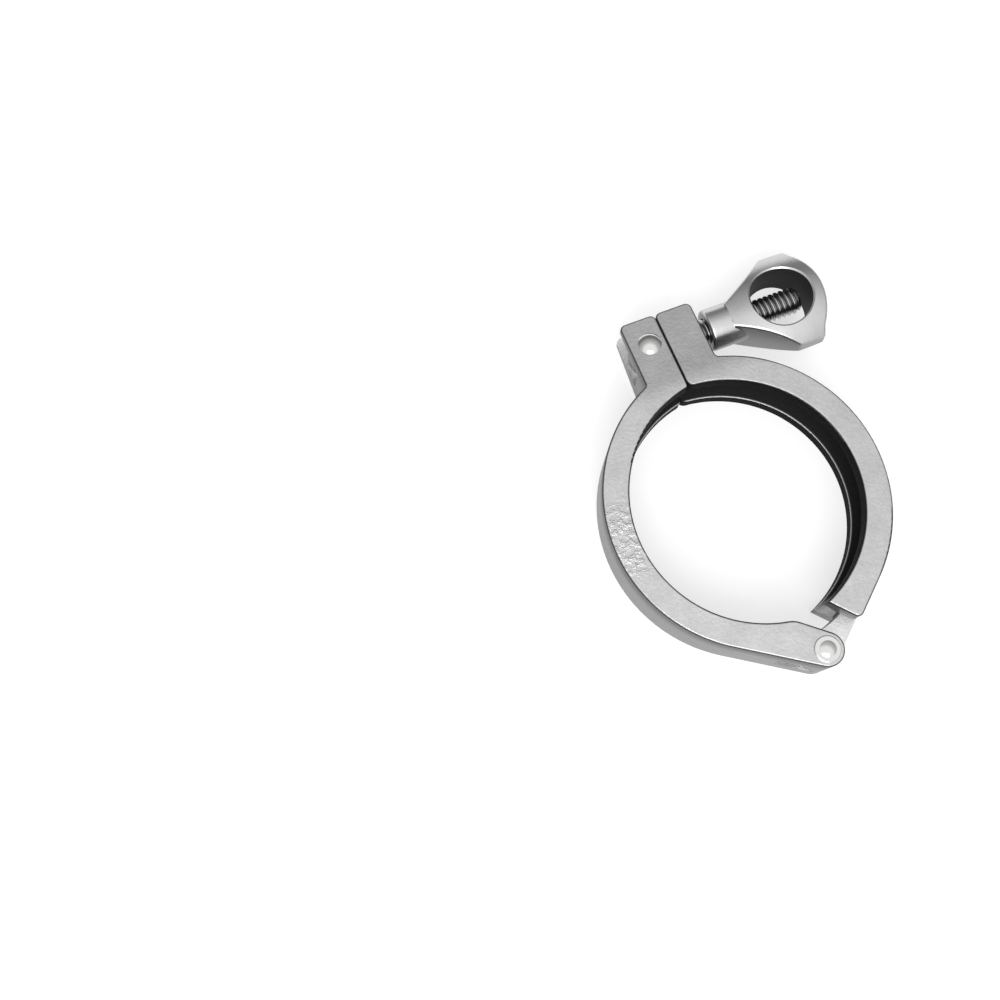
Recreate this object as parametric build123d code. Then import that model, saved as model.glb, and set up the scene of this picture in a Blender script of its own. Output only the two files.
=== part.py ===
from build123d import *
import os
from math import asin, cos, degrees, radians, sin, tan

# Hinged clamp for 64 mm sanitary ferrules. Millimetres and degrees.
# Two cast halves turn on a riveted hinge pin; a swing bolt and a wing nut draw their ears together.
# Origin: centre of the bolt side half's bore, at mid thickness. +Z is the bore axis, +Y runs from
# the hinge to the ears, and +X is the way the closed bolt points. The clamp is stored closed on
# nothing: the ears touch, and the halves have turned past the pose that grips a pair of ferrules.

# ---- ring section -------------------------------------------------------------------------------
thickness = 16.5          # across the two flat faces
lip_radius = 28.75        # clear bore between the lips in the gripping pose
groove_depth = 4.15       # of the V groove that draws the ferrules together
groove_mouth = 8.8        # groove width at the lips
flank_angle = 20.0        # of each groove flank, as on the backs of the ferrules
groove_corner = 0.5       # rounding along the bottom of the groove
back_wall = 1.9           # behind the groove
edge_radius = 0.5         # cast rounding of all outer edges

# ---- pins ---------------------------------------------------------------------------------------
pin_radius = 2.0
pin_clearance = 0.05      # radial, in the tongue and in the eye of the bolt
hinge_head_overhang = 0.95
hinge_head_height = 0.4
hinge_head_edge = 0.25
hinge_cap_step = 1.1      # from the edge of the head to its raised middle
hinge_cap_height = 0.5
bolt_head_overhang = 0.7
bolt_head_height = 1.1
head_rim = 0.1            # straight rim under each dome
upset_depth = 0.8         # countersink that the hinge pin's plain end is spread into
upset_flare = 0.8

# ---- hinge --------------------------------------------------------------------------------------
over_close = 9.6          # angle past the gripping pose at which the ears meet
knuckle_wall = 1.85       # around the pin, in the fork and in the tongue
tongue_width = 5.8
fork_clearance = 0.2      # each side of the tongue
fork_cutter = 9.6         # radius about the pin to which the fork is open
lip_end = 9.4             # distance from the pin at which the nut side half's lips stop
lip_end_round = 1.5       # outer corner of those lips
throat_angle = 39.0       # slope of the fork arms' inner edge
throat_length = 12.0      # of that edge, more than enough to reach the lips
throat_corner = 5.0

# ---- swing bolt ---------------------------------------------------------------------------------
rod_radius = 3.175        # 1/4 inch rod, left plain: its thread is a surface finish
bolt_length = 38.0        # from the pin's centre
rod_chamfer = 0.6
eye_wall = 2.05           # around the pin
eye_width = 5.9
eye_edge = 0.5

# ---- ears and their slots -----------------------------------------------------------------------
ear_face = -5.3           # X of the plane on which the ears meet
ear_width = 8.75
bolt_rise = 6.5           # from the outside of the ring to the bolt's axis
ear_rise = 6.6            # from the bolt's axis to the ends of the ears
taper_rise = 0.75         # from the lips to where both halves begin to thin towards the ears
taper_angle = 9.2
taper_blend = 25.0
ear_corner = 1.4
root_corner = 1.2
bolt_side_lip_corner = 0.8
nut_side_lip_corner = 1.8
pin_inset = 3.85          # bolt pin behind the plane on which the ears meet
slot_clearance = 0.6      # each side of the rod, in both ears
eye_floor_clearance = 1.6
rod_floor_clearance = 2.6 # from the rod to the rounded bottom of its slot

# ---- wing nut -----------------------------------------------------------------------------------
thread_clearance = 0.06   # radial, between rod and nut
nut_gap = 2.3             # from the ear to the end of the nut
barrel_length = 11.05     # from the end of the nut to its cross hole
barrel_wall = 1.765
head_swell = 1.4          # of the head's faces above the barrel, at the cross hole
hole_radius = 7.25
hole_chamfer = 0.45
end_wall = 2.85           # between the cross hole and the arched outer end
side_wall = 4.65          # between the cross hole and each tip
tip_length = 6.4
tip_thickness = 3.4
tip_near_corner = 1.6
tip_far_corner = 0.9
tip_drop = 0.7            # length and width of the slope from each tip to the arched end
tip_setback = 2.3
crown_rise = 2.9          # of the arched end
flare_start = 5.4         # nut end to where the head begins to grow out of the barrel
flare_half_width = 3.2
flare_wall = 2.4          # between the concave flanks and the cross hole, where they are closest
flare_wall_angle = 44.4   # direction of that place, seen from the hole's centre
nut_edge = 0.7
nut_turn = -7.0           # about the bolt, from the pose with its hole along Z

half = thickness / 2
floor_radius = lip_radius + groove_depth
outer_radius = floor_radius + back_wall
knuckle_radius = pin_radius + knuckle_wall
hinge_drop = floor_radius + knuckle_radius      # the knuckle touches the bottom of the groove
hinge = Vector(0, -hinge_drop)
bolt_y = outer_radius + bolt_rise
bolt_pin_x = ear_face - pin_inset
ear_top = bolt_y + ear_rise
taper_start = lip_radius + taper_rise
slot_half = rod_radius + slot_clearance
eye_radius = pin_radius + pin_clearance + eye_wall
eye_slot_floor = bolt_y - eye_radius - eye_floor_clearance
rod_slot_floor = bolt_y - rod_radius - rod_floor_clearance
barrel_radius = rod_radius + thread_clearance + barrel_wall
head_half_thickness = barrel_radius + head_swell
head_half_width = hole_radius + side_wall
hole_centre = barrel_length + hole_radius
nut_length = hole_centre + hole_radius + end_wall
tip_end = nut_length - crown_rise
tip_start = tip_end - tip_drop - tip_length
flare_middle = hole_centre - (hole_radius + flare_wall) * cos(radians(flare_wall_angle))
flare_middle_half_width = (hole_radius + flare_wall) * sin(radians(flare_wall_angle))
far = 200.0               # beyond the part, for cuts that run out of it
overrun = 2.0             # how far a shape is carried into or past the face it meets

# outward normals of the two arms' outer edges, each of which touches the ring and the knuckle
arm_slope = asin((outer_radius - knuckle_radius) / hinge_drop)
bolt_side_normal = Vector(-cos(arm_slope), -sin(arm_slope))
nut_side_normal = Vector(cos(arm_slope), -sin(arm_slope))
# where the nut side half's lips stop on its outer edge, before that half is turned
lip_end_corner = hinge + nut_side_normal * knuckle_radius + Vector(
    -nut_side_normal.Y, nut_side_normal.X) * lip_end


def disc(radius, at=Vector(0, 0)):
    return Pos(at.X, at.Y) * Circle(radius)


def block(x0, x1, y0, y1):
    return Pos((x0 + x1) / 2, (y0 + y1) / 2) * Rectangle(x1 - x0, y1 - y0)


def area(*corners):
    return Polygon(*[(corner.X, corner.Y) for corner in corners], align=None)


def about_hinge(angle):
    """The turn of the nut side half about the hinge pin."""
    return Pos(hinge.X, hinge.Y) * Rot(0, 0, angle) * Pos(-hinge.X, -hinge.Y)


def round_corner(outline, x, y, radius):
    """Round the corner of a plan outline that lies nearest to a point."""
    return fillet(outline.vertices().sort_by_distance((x, y, 0))[0], radius)


def half_thickness(y):
    """Half the thickness of the cast halves at a height, past the start of the taper."""
    return half - (y - taper_start) * tan(radians(taper_angle))


def side_profile():
    """Limits of both halves seen along X: flat over the ring, then tapered over the ears."""
    end = taper_start + half / tan(radians(taper_angle)) / 2
    upper = FilletPolyline((-far, half), (taper_start, half), (end, half_thickness(end)),
                           radius=taper_blend)
    lower = mirror(upper, Plane.XZ)
    near = Line(upper @ 0, lower @ 0)
    beyond = Line(upper @ 1, lower @ 1)
    face = make_face(upper.edges() + lower.edges() + near.edges() + beyond.edges())
    return extrude(Plane.YZ * face, amount=far / 2, both=True)


def cast(outline):
    """A plan outline made solid between the side profile's faces, with rounded rims."""
    solid = extrude(outline, amount=half, both=True) & side_profile()
    walls = solid.faces().filter_by(lambda face: abs(face.normal_at().Z) < 0.01)
    rims = walls.edges().filter_by(lambda edge: edge.bounding_box().size.Z < half)
    return fillet(rims, edge_radius)


def groove():
    """The V groove's cutter: a wedge with a flat end, swept round the bore."""
    mouth_half = groove_mouth / 2
    floor_half = mouth_half - (floor_radius - lip_radius) * tan(radians(flank_angle))
    inner = lip_radius - edge_radius - overrun
    profile = Polygon((inner, -mouth_half), (lip_radius, -mouth_half), (floor_radius, -floor_half),
                      (floor_radius, floor_half), (lip_radius, mouth_half), (inner, mouth_half),
                      align=None)
    profile = fillet(profile.vertices().sort_by(Axis.X)[-2:], groove_corner)
    return revolve(Plane.XZ * profile, Axis.Z)


def bolt_side_half():
    """Cast half with the bolt's ears at the top and the hinge fork at the bottom."""
    ring = disc(outer_radius) - disc(lip_radius)
    ring = ring & (block(-far, ear_face, 0, far) + block(-far, 0, -far, 0))
    ear = block(ear_face - ear_width, ear_face, lip_radius, ear_top)
    inward = Vector(sin(radians(throat_angle)), cos(radians(throat_angle)))
    throat_end = hinge + inward * knuckle_radius
    along = Vector(-inward.Y, inward.X)
    throat_start = throat_end + along * throat_length
    throat_mouth = throat_end + along * 2 * groove_depth
    arm = area(bolt_side_normal * outer_radius, hinge + bolt_side_normal * knuckle_radius,
               throat_end, throat_start)
    throat = area(throat_end, throat_start, throat_start + inward * far, throat_end + inward * far)
    plan = ring + arm - disc(lip_radius) - throat + ear + disc(knuckle_radius, hinge)
    plan = round_corner(plan, throat_mouth.X, throat_mouth.Y, throat_corner)
    plan = round_corner(plan, ear_face - ear_width, ear_top, ear_corner)
    plan = round_corner(plan, ear_face, ear_top, ear_corner)
    plan = round_corner(plan, ear_face - ear_width, outer_radius, root_corner)
    plan = round_corner(plan, ear_face, lip_radius, bolt_side_lip_corner)
    body = cast(plan) - groove()
    body -= Pos(hinge.X, hinge.Y, 0) * Cylinder(fork_cutter, tongue_width + 2 * fork_clearance)
    slot_height = far - eye_slot_floor
    body -= Pos(ear_face, eye_slot_floor + slot_height / 2, 0) * Box(far, slot_height, 2 * slot_half)
    body -= Pos(hinge.X, hinge.Y, 0) * Cylinder(pin_radius, far)
    body -= Pos(hinge.X, hinge.Y, upset_depth / 2 - half) * Cone(
        pin_radius + upset_flare, pin_radius, upset_depth)
    body -= Pos(bolt_pin_x, bolt_y, 0) * Cylinder(pin_radius, far)
    return body


def nut_side_half():
    """Cast half with the open ear that the bolt swings into and the hinge tongue."""
    turn = about_hinge(over_close)
    sector = area(nut_side_normal * outer_radius, hinge + nut_side_normal * knuckle_radius, hinge,
                  Vector(0, 0))
    near_hinge = Pos(hinge.X, hinge.Y) * Rot(0, 0, -degrees(arm_slope)) * block(
        -far, far, -far, lip_end)
    ring = disc(outer_radius) & (block(-far, far, 0, far) + block(0, far, -far, 0))
    lips = turn * (ring + sector - disc(lip_radius) - near_hinge)
    lips = lips & block(ear_face, far, -far, far)
    plan = lips + block(ear_face, ear_face + ear_width, lip_radius + overrun, ear_top)
    lip_corner = turn * Pos(lip_end_corner.X, lip_end_corner.Y)
    plan = round_corner(plan, ear_face + ear_width, ear_top, ear_corner)
    plan = round_corner(plan, ear_face, ear_top, ear_corner)
    plan = round_corner(plan, ear_face + ear_width, outer_radius, root_corner)
    plan = round_corner(plan, ear_face, lip_radius, nut_side_lip_corner)
    plan = round_corner(plan, lip_corner.position.X, lip_corner.position.Y, lip_end_round)
    body = cast(plan) - turn * groove()
    tongue = extrude(turn * (sector + disc(knuckle_radius, hinge) - disc(floor_radius)),
                     amount=tongue_width / 2, both=True)
    body += tongue
    body -= Pos(hinge.X, hinge.Y, 0) * Cylinder(pin_radius + pin_clearance, far)
    slot = block(rod_slot_floor + slot_half, far, -slot_half, slot_half) + disc(
        slot_half, Vector(rod_slot_floor + slot_half, 0))
    body -= extrude(Plane.YZ * slot, amount=far / 2, both=True)
    return body


def dome(radius, height):
    """A rivet head standing on the XY plane: a short straight rim under a spherical cap."""
    rise = height - head_rim
    sphere = (radius**2 + rise**2) / (2 * rise)
    walls = Polyline((0, height), (0, 0), (radius, 0), (radius, head_rim))
    cap = RadiusArc(walls @ 1, walls @ 0, -sphere)
    return revolve(Plane.XZ * make_face(walls.edges() + cap.edges()), Axis.Z)


def hinge_pin():
    """Shank through fork and tongue, a stepped low head in front and a spread end behind, flush."""
    shank = Pos(hinge.X, hinge.Y, 0) * Cylinder(pin_radius, thickness)
    shank += Pos(hinge.X, hinge.Y, upset_depth / 2 - half) * Cone(
        pin_radius + upset_flare, pin_radius, upset_depth)
    flange = Pos(hinge.X, hinge.Y, half + hinge_head_height / 2) * Cylinder(
        pin_radius + hinge_head_overhang, hinge_head_height)
    flange = fillet(flange.edges().filter_by(GeomType.CIRCLE).sort_by(Axis.Z)[-1], hinge_head_edge)
    cap = Pos(hinge.X, hinge.Y, half + hinge_head_height) * dome(
        pin_radius + hinge_head_overhang - hinge_cap_step, hinge_cap_height)
    return shank + flange + cap


def bolt_pin():
    """Shank through both ears, with a domed head seated square on each tapered face."""
    seat = half_thickness(bolt_y)
    pin = Pos(bolt_pin_x, bolt_y, 0) * Cylinder(pin_radius, 2 * seat)
    for front in (1, -1):
        turned = Rot(-taper_angle, 0, 0) if front > 0 else Rot(180 + taper_angle, 0, 0)
        pin += Pos(bolt_pin_x, bolt_y, front * seat) * turned * dome(
            pin_radius + bolt_head_overhang, bolt_head_height)
    return pin


def swing_bolt():
    """Eye on the pin and a round rod pointing along +X through the other ear."""
    eye = fillet(Cylinder(eye_radius, eye_width).edges().filter_by(GeomType.CIRCLE), eye_edge)
    rod = Rot(0, 90, 0) * Cylinder(rod_radius, bolt_length, align=(
        Align.CENTER, Align.CENTER, Align.MIN))
    rod = chamfer(rod.edges().filter_by(GeomType.CIRCLE).sort_by(Axis.X)[-1], rod_chamfer)
    bolt = eye + rod - Cylinder(pin_radius + pin_clearance, far)
    return Pos(bolt_pin_x, bolt_y, 0) * bolt


def rims_of_hole(nut):
    """The two edges where the cross hole's wall meets the nut's bowed faces."""
    wall = nut.faces().filter_by(GeomType.CYLINDER).filter_by(
        lambda face: abs(face.radius - hole_radius) < 0.001)
    return wall.edges().filter_by(lambda edge: edge.length > 2 * hole_radius)


def crowned(rise, width, along, across):
    """A solid of revolution about an axis along Y; the top of its crown is at the cross hole."""
    edge = rise - across + (across**2 - width**2) ** 0.5
    arc = ThreePointArc((-width, edge), (0, rise), (width, edge))
    base = Polyline(arc @ 1, (width, rise - along), (-width, rise - along), arc @ 0)
    face = Plane.YZ * make_face(arc.edges() + base.edges())
    return Pos(hole_centre, 0, 0) * revolve(face, Axis((0, 0, rise - along), (0, 1, 0)))


def wing_nut():
    """Threaded barrel flaring into a wide head with bowed faces and a cross hole."""
    barrel = Rot(0, 90, 0) * Cylinder(barrel_radius, hole_centre, align=(
        Align.CENTER, Align.CENTER, Align.MIN))
    barrel = fillet(barrel.edges().filter_by(GeomType.CIRCLE).sort_by(Axis.X)[0], nut_edge)
    # plan: concave flanks, straight tips, and an arched outer end
    flank = ThreePointArc((flare_start, flare_half_width), (flare_middle, flare_middle_half_width),
                          (tip_start, head_half_width))
    tip = Polyline(flank @ 1, (tip_start + tip_length, head_half_width),
                   (tip_end, head_half_width - tip_setback))
    crown = ThreePointArc(tip @ 1, (nut_length, 0), (tip_end, tip_setback - head_half_width))
    upper = flank.edges() + tip.edges()
    lower = mirror(flank, Plane.XZ).edges() + mirror(tip, Plane.XZ).edges()
    back = Line(flank @ 0, (flare_start, -flare_half_width))
    plan = make_face(upper + crown.edges() + lower + back.edges())
    for side in (1, -1):
        plan = round_corner(plan, tip_start, side * head_half_width, tip_near_corner)
        plan = round_corner(plan, tip_start + tip_length, side * head_half_width, tip_far_corner)
    # both faces are bowed across the head and, more gently, along it
    bow = head_half_thickness - tip_thickness / 2
    across = (head_half_width**2 + bow**2) / (2 * bow)
    run = hole_centre - flare_start
    drop = head_half_thickness - barrel_radius
    along = (run**2 + drop**2) / (2 * drop)
    front = crowned(head_half_thickness, head_half_width + edge_radius, along, across)
    head = extrude(plan, amount=barrel_radius + head_half_thickness, both=True) & front
    head &= mirror(front, Plane.XY)
    rims = head.edges().filter_by(lambda edge: edge.center().X > flare_start + nut_edge)
    head = fillet(rims, nut_edge)
    nut = barrel + head
    nut -= Pos(hole_centre, 0, 0) * Cylinder(hole_radius, far)
    nut = chamfer(rims_of_hole(nut), hole_chamfer)
    nut -= Rot(0, 90, 0) * Cylinder(rod_radius + thread_clearance, hole_centre, align=(
        Align.CENTER, Align.CENTER, Align.MIN))
    return Pos(ear_face + ear_width + nut_gap, bolt_y, 0) * Rot(nut_turn, 0, 0) * nut


os.makedirs("parts", exist_ok=True)
export_step(bolt_side_half(), "parts/bolt_side_half.step")
export_step(nut_side_half(), "parts/nut_side_half.step")
export_step(hinge_pin(), "parts/hinge_pin.step")
export_step(bolt_pin(), "parts/bolt_pin.step")
export_step(swing_bolt(), "parts/swing_bolt.step")
export_step(wing_nut(), "parts/wing_nut.step")
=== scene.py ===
from math import cos, pi, radians, sin

import bmesh
import bpy
from mathutils import Matrix, Vector


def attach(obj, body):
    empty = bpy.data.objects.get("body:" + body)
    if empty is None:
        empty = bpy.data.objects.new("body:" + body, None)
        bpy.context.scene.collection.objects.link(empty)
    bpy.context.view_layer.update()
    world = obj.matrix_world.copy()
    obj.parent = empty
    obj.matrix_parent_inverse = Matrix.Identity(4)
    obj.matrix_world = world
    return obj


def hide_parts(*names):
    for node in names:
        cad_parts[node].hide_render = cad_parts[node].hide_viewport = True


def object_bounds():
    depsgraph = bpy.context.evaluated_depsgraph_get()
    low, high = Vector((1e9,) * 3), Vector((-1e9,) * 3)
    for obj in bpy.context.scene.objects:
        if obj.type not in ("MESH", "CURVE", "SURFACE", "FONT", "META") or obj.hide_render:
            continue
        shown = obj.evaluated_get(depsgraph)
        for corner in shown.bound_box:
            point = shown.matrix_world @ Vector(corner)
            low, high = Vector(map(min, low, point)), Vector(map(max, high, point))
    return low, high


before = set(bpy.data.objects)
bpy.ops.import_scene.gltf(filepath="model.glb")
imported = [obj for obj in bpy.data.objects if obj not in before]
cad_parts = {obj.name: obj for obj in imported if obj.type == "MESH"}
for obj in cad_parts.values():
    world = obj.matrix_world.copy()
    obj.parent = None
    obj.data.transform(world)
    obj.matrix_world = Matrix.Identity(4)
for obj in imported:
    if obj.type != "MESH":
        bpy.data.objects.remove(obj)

cad_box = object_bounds()

# ---- Studio --------------------------------------------------------------------------------------
# The clamp lies on its back faces on a white table, seen from almost straight above. The sky is
# a pale dome, brightest on the hinge's side and darker at the horizon, which draws the edges of
# the metal. One soft box stands on the bright side.
camera_data = bpy.data.cameras.new("camera")
camera = bpy.data.objects.new("camera", camera_data)
camera_data.lens = 46.8
camera_data.sensor_width = 36.0
camera_data.clip_start = 0.01
view_right = Vector((0.93556, -0.35314, 0.00533))
view_forward = Vector((0.08419, 0.20834, -0.97443)).normalized()
view_up = view_right.cross(view_forward).normalized()
camera.matrix_world = Matrix.Translation((-0.07827, -0.04085, 0.28679)) @ Matrix(
    (view_right, view_up, -view_forward)).transposed().to_4x4()
bpy.context.scene.collection.objects.link(camera)
bpy.context.scene.camera = camera
bpy.context.scene.view_settings.view_transform = "Standard"


class Wire:
    """One value travelling through a material; arithmetic on it adds Math nodes."""

    def __init__(self, tree, socket):
        self.tree = tree
        self.socket = socket

    def _math(self, operation, first, second=0.0):
        return self.tree.make("ShaderNodeMath", {"operation": operation}, {0: first, 1: second})

    def __add__(self, other):
        return self._math("ADD", self, other)

    def __sub__(self, other):
        return self._math("SUBTRACT", self, other)

    def __rsub__(self, other):
        return self._math("SUBTRACT", other, self)

    def __mul__(self, other):
        return self._math("MULTIPLY", self, other)

    def __abs__(self):
        return self._math("ABSOLUTE", self)

    def __pow__(self, other):
        return self._math("POWER", self, other)

    def step(self, low, high):
        """0 below low, 1 above high, and a smooth step between; low may be the larger."""
        return self.tree.make("ShaderNodeMapRange", {"interpolation_type": "SMOOTHSTEP"},
                              {"Value": self, "From Min": low, "From Max": high})

    __radd__ = __add__
    __rmul__ = __mul__


class Finish:
    """A material's nodes, or the world's. make() adds a node and returns one of its outputs."""

    def __init__(self, owner, **constants):
        self.material = owner
        owner.use_nodes = True
        self.nodes = owner.node_tree.nodes
        self.links = owner.node_tree.links
        self.shader = self.nodes.get("Principled BSDF") or self.nodes["Background"]
        for socket, value in constants.items():
            self.shader.inputs[socket.replace("_", " ")].default_value = value

    def make(self, kind, settings=None, sockets=None, output=0):
        node = self.nodes.new(kind)
        for setting, value in (settings or {}).items():
            setattr(node, setting, value)
        for socket, value in (sockets or {}).items():
            self.feed(node.inputs[socket], value)
        return Wire(self, node.outputs[output])

    def feed(self, socket, value):
        if isinstance(value, Wire):
            self.links.new(value.socket, socket)
        else:
            socket.default_value = value

    def axes(self, vector):
        """The three parts of a vector."""
        first = self.make("ShaderNodeSeparateXYZ", {}, {0: vector})
        return [Wire(self, output) for output in first.socket.node.outputs]

    def noise(self, place, scale, detail=3.0, roughness=0.55):
        return self.make("ShaderNodeTexNoise", {"noise_dimensions": "3D"},
                         {"Vector": place, "Scale": scale, "Detail": detail, "Roughness": roughness})

    def grey(self, value):
        """A grey colour from one value."""
        return self.make("ShaderNodeCombineColor", {}, {0: value, 1: value, 2: value})

    def bump(self, height, depth, strength=1.0, under=None):
        sockets = {"Height": height, "Strength": strength, "Distance": depth}
        if under is not None:
            sockets["Normal"] = under
        return self.make("ShaderNodeBump", {}, sockets)

    def surface(self, **wires):
        for socket, wire in wires.items():
            self.feed(self.shader.inputs[socket.replace("_", " ")], wire)

    def paint(self, *names):
        """Give this finish to CAD meshes."""
        for name in names:
            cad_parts[name].data.materials.clear()
            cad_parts[name].data.materials.append(self.material)


table = bmesh.new()
bmesh.ops.create_grid(table, x_segments=1, y_segments=1, size=40.0,
                      matrix=Matrix.Translation((0, 0, cad_box[0][2])))
table_mesh = bpy.data.meshes.new("table")
table.to_mesh(table_mesh)
table.free()
floor = bpy.data.objects.new("table", table_mesh)
bpy.context.scene.collection.objects.link(floor)
white = Finish(bpy.data.materials.new("white_table"), Base_Color=(0.5, 0.5, 0.5, 1), Roughness=0.9,
               Emission_Color=(1, 1, 1, 1))
white.shader.inputs["Specular IOR Level"].default_value = 0.0
seen = [white.make("ShaderNodeLightPath", output=ray)
        for ray in ("Is Camera Ray", "Is Glossy Ray", "Is Transmission Ray")]
white.surface(Emission_Strength=0.62 * (seen[0] + seen[1] + seen[2]))
table_mesh.materials.append(white.material)

bpy.context.scene.world = bpy.data.worlds.new("studio")
sky = Finish(bpy.context.scene.world, Strength=1.0)
toward = sky.axes(sky.make("ShaderNodeTexCoord", output="Generated"))
lobe = -0.15 * toward[0] + -0.35 * toward[1] + 0.92 * toward[2]
sky.surface(Color=sky.grey(0.2 + 0.4 * lobe.step(-0.1, 0.58) + 0.5 * lobe.step(0.52, 0.84)))

lamp_data = bpy.data.lights.new("soft_box", "AREA")
lamp_data.shape = "SQUARE"
lamp_data.size = 0.45
lamp_data.energy = 2.4
lamp = bpy.data.objects.new("soft_box", lamp_data)
lamp_place = Vector((-0.18, -0.42, 0.55))
lamp.matrix_world = Matrix.Translation(lamp_place) @ (-lamp_place).to_track_quat(
    "-Z", "Y").to_matrix().to_4x4()
bpy.context.scene.collection.objects.link(lamp)

# ---- Cast halves ---------------------------------------------------------------------------------
# Two investment castings in stainless steel, each one lump with its ears and knuckle. The flat
# faces are tumbled to a fine pebble, with a pitted patch on one limb; the walls keep a rougher
# blasted skin and are painted darker, partly for that skin and partly as painted shade, and darker
# still towards the top as painted shade. The rounded edges carry a painted dark line of shade, and
# the groove, at its own centre in each half, is painted near black as shade.
for node, centre, patch in (("bolt_side_half", Vector((0, 0)), 1.0),
                            ("nut_side_half", Vector((-0.00613, -0.00051)), 0.0)):
    cast = Finish(bpy.data.materials.new("cast_" + node), Metallic=1.0)
    place = cast.make("ShaderNodeTexCoord", output="Object")
    x, y, z = cast.axes(place)
    radius = ((x - centre.x) ** 2 + (y - centre.y) ** 2) ** 0.5
    facing = abs(cast.axes(cast.make("ShaderNodeTexCoord", output="Normal"))[2])
    face = facing.step(0.75, 0.97)
    # Painted shade: the rounded edges are painted darker, as a dark outline.
    painted_edge_shade = facing.step(0.25, 0.6) * facing.step(0.995, 0.9)
    wedge = radius.step(0.02865, 0.0291) * abs(z).step(0.0048, 0.0042)
    walls = facing.step(0.6, 0.4)
    # Painted shade: inside the groove's radius, its recess and walls are painted near black.
    painted_groove_shade = radius.step(0.0336, 0.0331) * y.step(-0.0285, -0.0255) * (
        wedge + walls - wedge * walls)
    pebble = cast.noise(place, 1500.0)
    broad = cast.noise(place, 160.0, 5.0, 0.7)
    grain = cast.noise(place, 5200.0, 2.0)
    # Painted shade: steep walls are painted darker than flat faces, partly as their blasted skin and
    # partly as shade, and everything is painted darker towards the top as shade.
    shade = (0.29 - 0.17 * z.step(0.001, 0.0077) + 0.49 * face) * (0.76 + 0.44 * broad)
    shade = shade * (0.88 + 0.24 * pebble)
    shade = shade * (1 - 0.96 * painted_groove_shade) * (1 - 0.4 * painted_edge_shade)
    worn_patch_and_crests = patch * x.step(-0.026, -0.0285) * abs(y - 0.0005).step(0.0115, 0.004)
    pits = worn_patch_and_crests * cast.noise(place, 700.0, 5.0).step(0.42, 0.6)
    relief = cast.bump(pebble + 0.5 * grain, 0.00022, 0.32)
    relief = cast.bump(cast.noise(place, 2300.0, 3.0, 0.6) * pits, 0.0003, 0.62, relief)
    cast.surface(Base_Color=cast.grey(shade), Normal=relief,
                 Roughness=0.22 + 0.16 * broad + 0.2 * (1 - face) + 0.35 * painted_groove_shade)
    cast.paint(node)

# ---- Pins ----------------------------------------------------------------------------------------
# The hinge pin and the bolt's pin, of bright stainless bar. Their heads are formed cold and
# polished, with a faint unevenness left in the shine.
bright = Finish(bpy.data.materials.new("polished_pin"), Base_Color=(0.7, 0.7, 0.69, 1), Metallic=1.0)
place = bright.make("ShaderNodeTexCoord", output="Object")
bright.surface(Normal=bright.bump(bright.noise(place, 2600.0), 0.0001, 0.1),
               Roughness=0.07 + 0.08 * bright.noise(place, 400.0, 4.0))
bright.paint("hinge_pin", "bolt_pin")

# ---- Wing nut ------------------------------------------------------------------------------------
# One stainless casting, brushed to a satin after tumbling. The wall of its cross hole is painted
# dark as shade, with a bright ring where the hole's edges are chamfered, and its steep sides are
# painted darker as shade.
satin = Finish(bpy.data.materials.new("satin_nut"), Metallic=1.0)
place = satin.make("ShaderNodeTexCoord", output="Object")
x, y, z = satin.axes(place)
hole = Vector((0.02405, 0.0413))
lean = radians(-7.0)
across = cos(lean) * (y - hole.y) + sin(lean) * z
reach = ((x - hole.x) ** 2 + across ** 2) ** 0.5
# Painted shade: the wall of the cross hole is painted dark.
painted_bore_shade = reach.step(0.00735, 0.00728)
broad = satin.noise(place, 130.0, 5.0, 0.65)
# Painted shade: the nut's steep sides are painted darker.
side = abs(satin.axes(satin.make("ShaderNodeTexCoord", output="Normal"))[2]).step(0.75, 0.1)
satin.surface(
    Base_Color=satin.grey(0.62 * (0.84 + 0.3 * broad) * (1 - 0.85 * painted_bore_shade) * (1 - 0.5 * side)),
    Roughness=0.22 + 0.14 * broad + 0.4 * painted_bore_shade,
    Normal=satin.bump(satin.noise(place, 1900.0), 0.00018, 0.16))
satin.paint("wing_nut")

# ---- Swing bolt ----------------------------------------------------------------------------------
# A forged eye on a 1/4 inch stainless rod with a rolled thread, 20 turns to the inch. The thread
# is one profile wound along the rod, run out to a plain shank near the eye and chamfered at the
# free end; the eye is a ring with rounded rims around its pin.
pin_place = Vector((-0.00915, 0.0413, 0.0))
pitch = 0.00127
crest = 0.003165
root = 0.0024
rod_start = 0.0023
start_size = 0.0027
shank_end = 0.0085
run_out_length = 0.001
rod_end = 0.038
end_size = root - 0.00003
steps = 48
turns = 31
weld = 1e-6
rod = bmesh.new()
profile = [rod.verts.new((rod_start - 2 * pitch + share * pitch, 0, size)) for share, size in (
    (0.0, root), (0.22, root), (0.54, crest), (0.68, crest), (1.0, root))]
strand = [rod.edges.new(pair) for pair in zip(profile, profile[1:])]
bmesh.ops.spin(rod, geom=profile + strand, axis=(1, 0, 0), cent=(0, 0, 0),
               dvec=(pitch / steps, 0, 0), angle=2 * pi * turns, steps=steps * turns)
bmesh.ops.remove_doubles(rod, verts=rod.verts, dist=weld)
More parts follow.
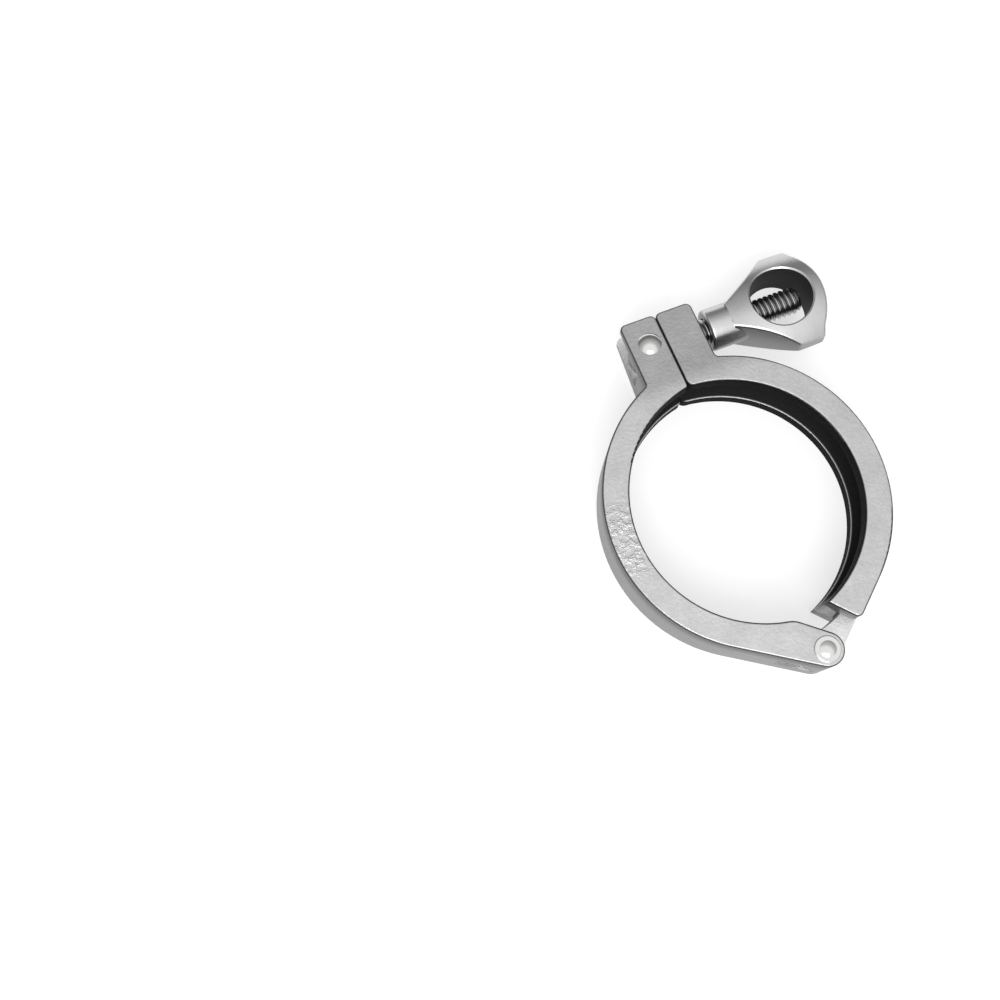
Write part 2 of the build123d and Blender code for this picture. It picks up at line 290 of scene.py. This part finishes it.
for vert in rod.verts:
    along = min(max(vert.co.x, rod_start), rod_end)
    size = Vector(vert.co.yz).length
    cut = min(max((along - shank_end) / run_out_length, 0.0), 1.0)
    size = crest - (crest - size) * cut
    size = min(size, end_size + rod_end - along, start_size + along - rod_start)
    flat = Vector(vert.co.yz).normalized() * size
    vert.co = Vector((along, flat.x, flat.y))
bmesh.ops.remove_doubles(rod, verts=rod.verts, dist=weld)
bmesh.ops.dissolve_degenerate(rod, edges=rod.edges, dist=weld)
bmesh.ops.holes_fill(rod, edges=[edge for edge in rod.edges if edge.is_boundary])
rim = []
for size, rise in ((0.00205, 0.00295), (0.0036, 0.00295), (0.00385, 0.00288), (0.00403, 0.0027),
                   (0.0041, 0.00245), (0.0041, -0.00245), (0.00403, -0.0027),
                   (0.00385, -0.00288), (0.0036, -0.00295), (0.00205, -0.00295)):
    rim.append(rod.verts.new((size, 0, rise)))
ring = [rod.edges.new(pair) for pair in zip(rim, rim[1:] + rim[:1])]
bmesh.ops.spin(rod, geom=rim + ring, axis=(0, 0, 1), cent=(0, 0, 0), angle=2 * pi, steps=96)
bmesh.ops.remove_doubles(rod, verts=rod.verts, dist=weld)
bmesh.ops.recalc_face_normals(rod, faces=rod.faces)
bmesh.ops.translate(rod, verts=rod.verts, vec=pin_place)
for face in rod.faces:
    face.smooth = True
rod_mesh = bpy.data.meshes.new("threaded_bolt")
rod.to_mesh(rod_mesh)
rod.free()
rod_mesh.set_sharp_from_angle(angle=radians(28))
threaded_bolt = bpy.data.objects.new("threaded_bolt", rod_mesh)
bpy.context.scene.collection.objects.link(threaded_bolt)
rolled = Finish(bpy.data.materials.new("rolled_thread"), Metallic=1.0)
place = rolled.make("ShaderNodeTexCoord", output="Object")
x, y, z = rolled.axes(place)
# Painted shade: the thread's roots and chamfered end are painted darker than its crests and plain
# shank.
worn_patch_and_crests = (((y - pin_place.y) ** 2 + z ** 2) ** 0.5).step(root, 0.0031)
rolled.surface(Base_Color=rolled.grey((0.22 + 0.38 * worn_patch_and_crests) * (0.85 + 0.3 * rolled.noise(place, 500.0))),
               Roughness=0.34 - 0.14 * worn_patch_and_crests,
               Normal=rolled.bump(rolled.noise(place, 2500.0), 0.00012, 0.2))
rod_mesh.materials.append(rolled.material)
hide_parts("swing_bolt")
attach(threaded_bolt, "bolt")
